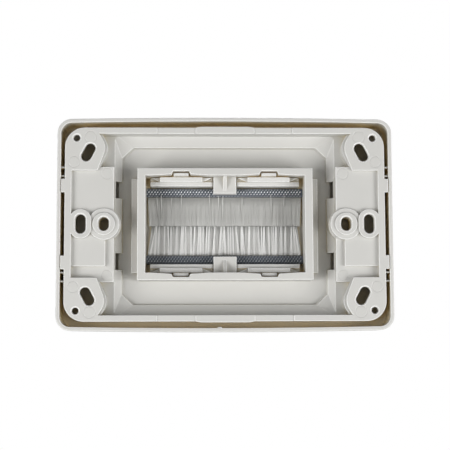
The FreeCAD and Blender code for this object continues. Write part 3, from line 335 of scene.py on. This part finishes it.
def moulded_abs(name, light, shade, marks=()):
    """Injection-moulded ABS: satin, off-white, softly rounded at every edge, with a spark-eroded grain.

    The real grain is near 0.05 mm, too fine to show, so it is drawn at 0.32 mm. Each ejector mark is a ring
    sunk into all four quarters alike: the place is folded into one quarter by its absolute value.
    """
    material, tree = new_material(name)
    place = add(tree, "ShaderNodeTexCoord").outputs["Object"]
    cloud = add(tree, "ShaderNodeTexNoise", {"Vector": place, "Scale": 1 / COLOUR_CLOUD, "Detail": 3.0})
    colour = add(tree, "ShaderNodeMix", {
        SHARE: cloud.outputs[0], FIRST: linear(shade), SECOND: linear(light),
    }, data_type="RGBA")
    grain = add(tree, "ShaderNodeTexNoise", {"Vector": place, "Scale": 1 / MOULD_GRAIN, "Detail": 2.0})
    height = add(tree, "ShaderNodeMath", {
        0: grain.outputs[0], 1: GRAIN_DEPTH,
    }, operation="MULTIPLY").outputs[0]
    folded = add(tree, "ShaderNodeVectorMath", {0: place}, operation="ABSOLUTE")
    flat = add(tree, "ShaderNodeVectorMath", {
        0: folded.outputs[0], 1: (1.0, 0.0, 1.0),
    }, operation="MULTIPLY")
    for across, up, radius in marks:
        apart = add(tree, "ShaderNodeVectorMath", {
            0: flat.outputs[0], 1: (across, 0.0, up),
        }, operation="DISTANCE")
        line = add(tree, "ShaderNodeMath", {0: apart.outputs["Value"], 1: radius}, operation="SUBTRACT")
        away = add(tree, "ShaderNodeMath", {0: line.outputs[0]}, operation="ABSOLUTE")
        groove = add(tree, "ShaderNodeMapRange", {
            "Value": away.outputs[0], "From Max": MARK_LINE, "To Min": -MARK_DEPTH, "To Max": 0.0,
        }, interpolation_type="SMOOTHSTEP")
        height = add(tree, "ShaderNodeMath", {
            0: height, 1: groove.outputs[0],
        }, operation="ADD").outputs[0]
    edge = add(tree, "ShaderNodeBevel", {"Radius": EDGE_ROUND}, samples=EDGE_SAMPLES)
    relief = add(tree, "ShaderNodeBump", {
        "Strength": 1.0, "Distance": 1.0, "Height": height, "Normal": edge.outputs[0],
    })
    roughness = add(tree, "ShaderNodeMapRange", {
        "Value": grain.outputs[0], "To Min": SMOOTHEST, "To Max": ROUGHEST,
    })
    surface = add(tree, "ShaderNodeBsdfPrincipled", {
        # The base colour carries painted highlights on edges, painted shade at step feet and in wells, and
        # painted bounce light in deep crevices.
        "Base Color": painted_edge_highlight_and_crevice_shade(tree, colour.outputs[MIXED], edge.outputs[0]),
        "Roughness": roughness.outputs[0],
        "IOR": ABS_IOR,
        "Normal": relief.outputs[0],
    })
    add(tree, "ShaderNodeOutputMaterial", {"Surface": surface.outputs[0]})
    return material


NYLON_IOR = 1.53


def nylon(name, dark, bright, roughness):
    """Drawn nylon filament, glossy along its length; the tone mixes its dark and bright colours."""
    material, tree = new_material(name)
    tone = add(tree, "ShaderNodeAttribute", attribute_name="tone").outputs["Fac"]
    colour = add(tree, "ShaderNodeMix", {
        SHARE: tone, FIRST: linear(dark), SECOND: linear(bright),
    }, data_type="RGBA")
    surface = add(tree, "ShaderNodeBsdfPrincipled", {
        "Base Color": colour.outputs[MIXED],
        "Roughness": roughness,
        "IOR": NYLON_IOR,
    })
    add(tree, "ShaderNodeOutputMaterial", {"Surface": surface.outputs[0]})
    return material


# A real fibre of the yarn is near 0.02 mm, too fine to show, so it is drawn coarser.
YARN_FIBRE = 0.09 * MM
FIBRE_DEPTH = 0.02 * MM


def polyester_yarn():
    """Knitted polyester: slate yarn with paler stitches, matt, with a faint sheen from its loose fibres."""
    material, tree = new_material("knitted polyester")
    place = add(tree, "ShaderNodeTexCoord").outputs["Object"]
    tone = add(tree, "ShaderNodeAttribute", attribute_name="tone").outputs["Fac"]
    colour = add(tree, "ShaderNodeMix", {
        SHARE: tone, FIRST: linear("#4C525A"), SECOND: linear("#F4F7FA"),
    }, data_type="RGBA")
    fibre = add(tree, "ShaderNodeTexNoise", {"Vector": place, "Scale": 1 / YARN_FIBRE, "Detail": 1.0})
    relief = add(tree, "ShaderNodeBump", {
        "Strength": 0.6, "Distance": FIBRE_DEPTH, "Height": fibre.outputs[0],
    })
    surface = add(tree, "ShaderNodeBsdfPrincipled", {
        "Base Color": colour.outputs[MIXED],
        "Roughness": 0.8,
        "Sheen Weight": 0.25,
        "Normal": relief.outputs[0],
    })
    add(tree, "ShaderNodeOutputMaterial", {"Surface": surface.outputs[0]})
    return material


# Filaments: thin tubes, softened by smooth shading. The steps go from root to tip, the last two close
# together at the cut end, and a bowed filament has more of them. Those past NEAR_TIP have the tip's tone.
FILAMENT_RADIUS = 0.095 * MM
FILAMENT_SIDES = 4
TIP_NARROWING = 0.1
STRAIGHT = np.array([0, 0.35, 0.7, 0.985, 1.0])
BOWED = np.array([0, 0.1, 0.3, 0.5, 0.75, 0.985, 1.0])
NEAR_TIP = 0.9

# How far the inward lean reaches from a bank's ends.
END_REACH = 2 * MM


def filaments(name, root, tip, bow, tone, material, steps):
    """A bank of filaments, each a closed tube along a bowed line.

    centre(t) = root + t (tip - root) + bow sin(pi t) at the given steps of t; the wall stands
    r(t) (cos a, sin a) off it in X and Y, where r(t) is the filament's radius, less a share that grows as
    t cubed. The tone is given for each filament, or for each of its steps.
    """
    rings = len(steps)
    sides = FILAMENT_SIDES
    t = steps[None, :, None]
    centre = root[:, None] + t * (tip - root)[:, None] + bow[:, None] * np.sin(np.pi * t)
    angle = np.linspace(0, 2 * np.pi, sides, endpoint=False) + np.pi / sides
    spoke = np.stack([np.cos(angle), np.sin(angle), np.zeros(sides)], -1)
    radius = FILAMENT_RADIUS * (1 - TIP_NARROWING * t ** 3)
    points = centre[:, :, None] + radius[..., None] * spoke
    ring = np.arange(sides)
    beside = np.roll(ring, -1)
    base = (np.arange(rings - 1) * sides)[:, None]
    wall = np.stack([base + ring, base + beside, base + beside + sides, base + ring + sides], -1)
    ends = np.stack([ring[::-1], ring + (rings - 1) * sides])
    tube = np.concatenate([wall.reshape(-1, 4), ends])
    # These faces point outward on a tube that grows upward, so they are turned round on one that hangs.
    if (tip - root)[0, 2] < 0:
        tube = tube[:, ::-1]
    faces = tube[None] + (np.arange(len(root)) * rings * sides)[:, None, None]
    tones = np.broadcast_to(tone.reshape(len(root), -1, 1), (len(root), rings, sides))
    return new_piece(name, points, faces, material, np.clip(tones, 0, 1))


def bank(node, columns, layers, shake, end_lean, random):
    """Roots and tips of a bank's filaments on a shaken grid, within the box of its solid.

    A column's place along X and a layer's depth along Y are even steps, each moved by up to a share of a
    step, and every other layer stands half a step along. Near the bank's ends the tips lean inward by
    end_lean exp(-distance from the end / end reach). The third value is 1 for the upper bank, and -1 for
    the lower one.
    """
    low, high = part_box(node)
    up = 1 if high.z > 0 else -1
    root_z, tip_z = (high.z, low.z) if up > 0 else (low.z, high.z)
    across, deep = np.meshgrid(np.arange(columns) + 0.5, np.arange(layers) + 0.5, indexing="ij")
    aside = 0.5 * (np.floor(deep.ravel()) % 2) - 0.25
    across = across.ravel() + aside + random.uniform(-shake, shake, across.size)
    deep = deep.ravel() + random.uniform(-shake, shake, deep.size)
    margin = FILAMENT_RADIUS
    x = low.x + margin + (high.x - low.x - 2 * margin) * np.clip(across / columns, 0, 1)
    y = low.y + margin + (high.y - low.y - 2 * margin) * np.clip(deep / layers, 0, 1)
    inward = end_lean * (np.exp((low.x - x) / END_REACH) - np.exp((x - high.x) / END_REACH))
    root = np.stack([x, y, np.full_like(x, root_z)], -1)
    tip = np.stack([x + inward, y, np.full_like(x, tip_z)], -1)
    return root, tip, up


# Upper bank: its seed and grid, how far its filaments stray, and its tone.
UPPER_SEED = 11
UPPER_COLUMNS = 400
UPPER_LAYERS = 11
UPPER_SHAKE = 0.15
UPPER_END_LEAN = 0.6 * MM
UPPER_STRAY = 0.07 * MM
UPPER_RAGGED = 0.15 * MM
UPPER_BOW = 0.03 * MM
UPPER_TONE = 0.42
UPPER_TONE_SPREAD = 0.02
UPPER_TIP_GLOW = 0.12


def upper_filaments(material):
    """The upper bank: close and nearly parallel, with a ragged edge and a little paler at its tips."""
    random = np.random.default_rng(UPPER_SEED)
    root, tip, up = bank(
        "upper_bristles", UPPER_COLUMNS, UPPER_LAYERS, UPPER_SHAKE, UPPER_END_LEAN, random
    )
    count = len(root)
    tip[:, 0] += random.normal(0, UPPER_STRAY, count)
    tip[:, 2] += up * random.uniform(-UPPER_RAGGED, UPPER_RAGGED, count)
    bow = np.zeros_like(root)
    bow[:, 0] = random.normal(0, UPPER_BOW, count)
    tone = UPPER_TONE + random.normal(0, UPPER_TONE_SPREAD, count)[:, None]
    tone = tone + UPPER_TIP_GLOW * (STRAIGHT > NEAR_TIP)
    return filaments("upper_filaments", root, tip, bow, tone, material, STRAIGHT)


# Loose strands: least and most of where they start above the bank, of how far down it they reach, and of
# their tone. Their roots sit a little under the binding's surface.
LOOSE_SEED = 4
LOOSE_STRANDS = 10
LOOSE_MARGIN = 2 * MM
LOOSE_CLIMB = (-0.3 * MM, 1.1 * MM)
LOOSE_LENGTH = (0.35, 0.9)
LOOSE_SUNK = 0.05 * MM
LOOSE_STRAY = 0.35 * MM
LOOSE_BOW = 0.12 * MM
LOOSE_TONE = (0.8, 1.0)
LOOSE_FADE = 0.5


def loose_strands(material):
    """Single bright filaments that left the upper bank's row: they start on its binding and fade into it."""
    random = np.random.default_rng(LOOSE_SEED)
    low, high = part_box("upper_bristles")
    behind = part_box("upper_brush_head")[1].y
    x = random.uniform(low.x + LOOSE_MARGIN, high.x - LOOSE_MARGIN, LOOSE_STRANDS)
    climb = random.uniform(*LOOSE_CLIMB, LOOSE_STRANDS)
    reach = random.uniform(*LOOSE_LENGTH, LOOSE_STRANDS)
    root = np.stack([x, np.full_like(x, behind - LOOSE_SUNK), high.z + climb], -1)
    tip = np.stack([
        x + random.normal(0, LOOSE_STRAY, LOOSE_STRANDS),
        np.full_like(x, high.y),
        high.z + reach * (low.z - high.z),
    ], -1)
    bow = np.zeros_like(root)
    bow[:, 0] = random.normal(0, LOOSE_BOW, LOOSE_STRANDS)
    tone = random.uniform(*LOOSE_TONE, LOOSE_STRANDS)[:, None] - LOOSE_FADE * BOWED ** 2
    return filaments("loose_strands", root, tip, bow, tone, material, BOWED)


# Lower bank: its seed and grid, and how far its filaments stray.
LOWER_SEED = 17
LOWER_COLUMNS = 300
LOWER_LAYERS = 12
LOWER_SHAKE = 0.3
LOWER_END_LEAN = 1.6 * MM
LOWER_STRAY = 0.14 * MM
LOWER_RAGGED = (-0.10 * MM, 0.22 * MM)
LOWER_BOW = 0.05 * MM

# Its clumps: least and most step between centres, least and most half width, how neighbours and single ones
# lean, how much of its distance from the centre a filament loses, and how near a face the clumps lie.
LOWER_CLUMPS = 44
CLUMP_STEP = (0.3, 1.8)
CLUMP_LAST_STEP = 0.4
CLUMP_WIDTH = (0.22 * MM, 0.62 * MM)
DRIFT_POINTS = 10
OWN_LEAN = 0.5
CLUMP_SHIFT = 0.75 * MM
MOST_SHIFT = 1.3 * MM
CLUMP_GATHER = 0.5
FACE_DEPTH = 0.45

# Its tones: in a clump, elsewhere, and what the tips and roots lose.
CLUMP_SHINE = (0.86, 1.06)
SHINE_SPREAD = 0.10
LOWER_GREY = 0.52
GREY_SPREAD = 0.06
LOWER_TIP_FADE = 0.25
LOWER_ROOT_FADE = 0.5


def lower_filaments(material):
    """The lower bank: bright clumps of uneven width on its faces, over greyer filaments inside.

    The clumps' centres are uneven steps along the bank, and neighbours lean alike. A filament in a clump
    keeps half its distance from the centre at its tip. The roots and tips are a little greyer.
    """
    random = np.random.default_rng(LOWER_SEED)
    root, tip, up = bank(
        "lower_bristles", LOWER_COLUMNS, LOWER_LAYERS, LOWER_SHAKE, LOWER_END_LEAN, random
    )
    count = len(root)
    low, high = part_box("lower_bristles")
    steps = np.cumsum(random.uniform(*CLUMP_STEP, LOWER_CLUMPS))
    centres = low.x + (high.x - low.x) * (steps - CLUMP_STEP[0]) / (steps[-1] + CLUMP_LAST_STEP)
    drift = np.interp(
        np.linspace(0, DRIFT_POINTS - 1, LOWER_CLUMPS),
        np.arange(DRIFT_POINTS),
        random.normal(0, 1, DRIFT_POINTS),
    )
    lean = CLUMP_SHIFT * (drift + random.normal(0, OWN_LEAN, LOWER_CLUMPS))
    lean = np.clip(lean, -MOST_SHIFT, MOST_SHIFT)
    widths = random.uniform(*CLUMP_WIDTH, LOWER_CLUMPS)
    shine = random.uniform(*CLUMP_SHINE, LOWER_CLUMPS)
    nearest = np.argmin(np.abs(root[:, 0, None] - centres), axis=1)
    apart = root[:, 0] - centres[nearest]
    depth = np.abs(2 * root[:, 1] - low.y - high.y) / (high.y - low.y)
    inside = (np.abs(apart) < widths[nearest]) & (depth > FACE_DEPTH)
    stray = random.normal(0, LOWER_STRAY, count)
    tip[:, 0] += np.where(inside, lean[nearest] - CLUMP_GATHER * apart, stray)
    tip[:, 0] = np.clip(tip[:, 0], low.x + FILAMENT_RADIUS, high.x - FILAMENT_RADIUS)
    tip[:, 2] -= up * random.uniform(*LOWER_RAGGED, count)
    bow = np.zeros_like(root)
    bow[:, 0] = random.normal(0, LOWER_BOW, count)
    bright = shine[nearest] + random.normal(0, SHINE_SPREAD, count)
    grey = LOWER_GREY + random.normal(0, GREY_SPREAD, count)
    tone = np.where(inside, bright, grey)[:, None]
    tone = tone - LOWER_TIP_FADE * (BOWED > NEAR_TIP) - LOWER_ROOT_FADE * (BOWED == 0)
    return filaments("lower_filaments", root, tip, bow, tone, material, BOWED)


# Knitted binding: leaning stitches in rows round a rounded bar, and the mesh of one stitch.
KNIT_SEED = 23
STITCH_PITCH = 1.05 * MM
STITCH_ROWS = 12
STITCH_LONG = 0.36 * MM
STITCH_WIDE = 0.21 * MM
STITCH_HIGH = 0.16 * MM
STITCH_STRAY = 0.03 * MM
STITCH_LEAN = math.radians(-48)
LEAN_SPREAD = 0.10
STITCH_RINGS = 6
STITCH_SPOKES = 7

# The bar: its corners, its core, and how far a soft bar's end reaches past its solid's.
BAR_ROUND = 0.9 * MM
BAR_SQUEEZE = 0.45 * MM
OUTLINE_STEPS = 721
CORE_POINTS = 48
CORE_END = 0.3 * MM
CORE_END_SHARE = 0.8

# Its tones: the yarn's own, how a bright row's stitches differ, and how far up and down the row reaches.
YARN_TONE = 0.20
STITCH_GLEAM = (0.6, 1.25)
ROW_REACH = 0.14

# Where the first row starts above the bar's middle, and each bright row's height and how pale it is.
UPPER_FIRST_ROW = 0.24 * MM
LOWER_FIRST_ROW = -0.45 * MM
UPPER_BRIGHT_ROWS = ((0.62, 0.15), (0.14, 0.80), (-0.35, 0.50), (-0.80, 0.10))
# The lower head's paler stitches are drawn far less pale than the upper's: painted shade, as the lower head
# lies deeper in shade.
LOWER_BRIGHT_ROWS_WITH_PAINTED_SHADE = ((0.70, 0.02), (0.20, 0.06), (-0.30, 0.24))


def bar_outline(low, high, count, start=0.0):
    """Points and outward directions at even steps round the bar in Y and Z, a stitch's height inside it.

    The outline is radius (cos a, sin a) off the nearest corner of the inner rectangle, read at even lengths
    that begin at the start length above the middle of the wall side.
    """
    half_deep = (high.y - low.y) / 2 - STITCH_HIGH
    half_high = (high.z - low.z) / 2 - STITCH_HIGH
    radius = BAR_ROUND - STITCH_HIGH
    angle = np.linspace(0, 2 * np.pi, OUTLINE_STEPS)
    corner = np.stack([
        np.sign(np.cos(angle)) * (half_deep - radius),
        np.sign(np.sin(angle)) * (half_high - radius),
    ], -1)
    points = corner + radius * np.stack([np.cos(angle), np.sin(angle)], -1)
    points[-1] = points[0]
    sides = np.linalg.norm(np.diff(points, axis=0), axis=1)
    length = np.concatenate([[0], np.cumsum(sides)])
    wanted = start + np.linspace(0, length[-1], count, endpoint=False)
    wanted = wanted % length[-1]
    places = np.stack([np.interp(wanted, length, points[:, axis]) for axis in (0, 1)], -1)
    turn = np.interp(wanted, length, angle)
    return places, np.stack([np.cos(turn), np.sin(turn)], -1)


def one_stitch():
    """A stitch's points and faces: an ellipsoid, (long cos v sin u, wide sin v sin u, high cos u)."""
    u, v = np.meshgrid(
        np.linspace(0, np.pi, STITCH_RINGS), np.linspace(0, 2 * np.pi, STITCH_SPOKES), indexing="ij"
    )
    points = np.stack([
        STITCH_LONG * np.cos(v) * np.sin(u),
        STITCH_WIDE * np.sin(v) * np.sin(u),
        STITCH_HIGH * np.cos(u),
    ], -1)
    return points.reshape(-1, 3), grid_faces(*u.shape)


def knitted_binding(node, name, first_row, bright_rows, material):
    """Rows of stitches round the bar of a brush's root, all leaning one way, and the core under them.

    The bar is soft, so its ends reach past its solid's, up to the collar's walls. The first row is a height
    above the bar's middle. Each bright row is a height on the bar, from -1 to 1, and how pale its yarn is:
    the tone falls off as exp(-(distance from the row / its reach) squared).
    """
    random = np.random.default_rng(KNIT_SEED)
    low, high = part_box(node)
    low.x -= BAR_SQUEEZE
    high.x += BAR_SQUEEZE
    middle = (low + high) / 2
    places, outward = bar_outline(low, high, STITCH_ROWS, first_row)
    columns = int((high.x - low.x - 2 * STITCH_LONG) / STITCH_PITCH)
    along = middle.x + STITCH_PITCH * (np.arange(columns) - (columns - 1) / 2)
    row = np.repeat(np.arange(STITCH_ROWS), columns)
    x = np.tile(along, STITCH_ROWS) + 0.5 * STITCH_PITCH * (row % 2)
    x = np.clip(x + random.normal(0, STITCH_STRAY, row.size), low.x + STITCH_LONG, high.x - STITCH_LONG)
    seat = np.stack([x, middle.y + places[row, 0], middle.z + places[row, 1]], -1)
    normal = np.stack([np.zeros(row.size), outward[row, 0], outward[row, 1]], -1)
    side = np.stack([np.zeros(row.size), -outward[row, 1], outward[row, 0]], -1)
    lean = STITCH_LEAN + random.normal(0, LEAN_SPREAD, row.size)
    ahead = np.cos(lean)[:, None] * np.array([1.0, 0, 0]) + np.sin(lean)[:, None] * side
    beside = np.cross(normal, ahead)
    stitch, stitch_faces = one_stitch()
    points = seat[:, None] + np.einsum("pk,skd->spd", stitch, np.stack([ahead, beside, normal], 1))
    faces = stitch_faces[None] + (np.arange(row.size) * len(stitch))[:, None, None]
    level = (seat[:, 2] - middle.z) / ((high.z - low.z) / 2)
    bright = sum(pale * np.exp(-((level - height) / ROW_REACH) ** 2) for height, pale in bright_rows)
    tone = YARN_TONE + bright * random.uniform(*STITCH_GLEAM, row.size)
    piece = new_piece(name, points, faces, material, np.repeat(np.clip(tone, 0, 1), len(stitch)))
    close_seams(piece)
    return piece, bar_core(f"{name}_core", low, high, material)


def bar_core(name, low, high, material):
    """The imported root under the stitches: the bar's outline drawn from end to end.

    Its ends close in two steps toward the bar's middle line.
    """
    middle = (low + high) / 2
    places, _ = bar_outline(low, high, CORE_POINTS)
    x = np.array([low.x, low.x, low.x + CORE_END, high.x - CORE_END, high.x, high.x])
    share = np.array([0.0, CORE_END_SHARE, 1.0, 1.0, CORE_END_SHARE, 0.0])
    closed = np.concatenate([places, places[:1]])
    points = np.stack([
        np.repeat(x[:, None], len(closed), axis=1),
        middle.y + share[:, None] * closed[:, 0],
        middle.z + share[:, None] * closed[:, 1],
    ], -1)
    # The grid's faces point inward here, so they are turned round.
    faces = grid_faces(*points.shape[:2])[:, ::-1]
    core = new_piece(name, points, faces, material, np.zeros(points.shape[:2]))
    close_seams(core)
    return core


def paint(node, material):
    """Gives a moulding its material."""
    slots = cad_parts[node].data.materials
    slots.clear()
    slots.append(material)


photo_camera()
studio()

paint("cover_plate", moulded_abs("moulded ABS, cover", "#D0CFCB", "#CAC9C5"))
paint("mounting_plate", moulded_abs("moulded ABS, mounting plate", "#CFCECA", "#C9C8C4", EJECTOR_MARKS))
paint("brush_insert", moulded_abs("moulded ABS, insert", "#D2D1CE", "#CCCBC8"))

# The upper bank and the loose strands take the greyer colours, and the lower bank the paler ones.
greyer_nylon = nylon("greyer nylon filament", "#8C8B86", "#F4F4F1", 0.34)
paler_nylon = nylon("paler nylon filament", "#9E9D98", "#FBFBF9", 0.5)
yarn = polyester_yarn()
upper = upper_filaments(greyer_nylon)
loose = loose_strands(greyer_nylon)
lower = lower_filaments(paler_nylon)
upper_knit, upper_core = knitted_binding(
    "upper_brush_head", "upper_knit", UPPER_FIRST_ROW, UPPER_BRIGHT_ROWS, yarn
)
lower_knit, lower_core = knitted_binding(
    "lower_brush_head", "lower_knit", LOWER_FIRST_ROW, LOWER_BRIGHT_ROWS_WITH_PAINTED_SHADE, yarn
)

for piece, node, slot in (
    (upper, "upper_bristles", "bristle_nylon"),
    (lower, "lower_bristles", "bristle_nylon"),
    (upper_knit, "upper_brush_head", "brush_binding"),
    (lower_knit, "lower_brush_head", "brush_binding"),
):
    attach(piece, "root")
    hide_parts(node)
for piece, slot in (
    (upper_core, "brush_binding"),
    (lower_core, "brush_binding"),
    (loose, "bristle_nylon"),
):
    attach(piece, "root")
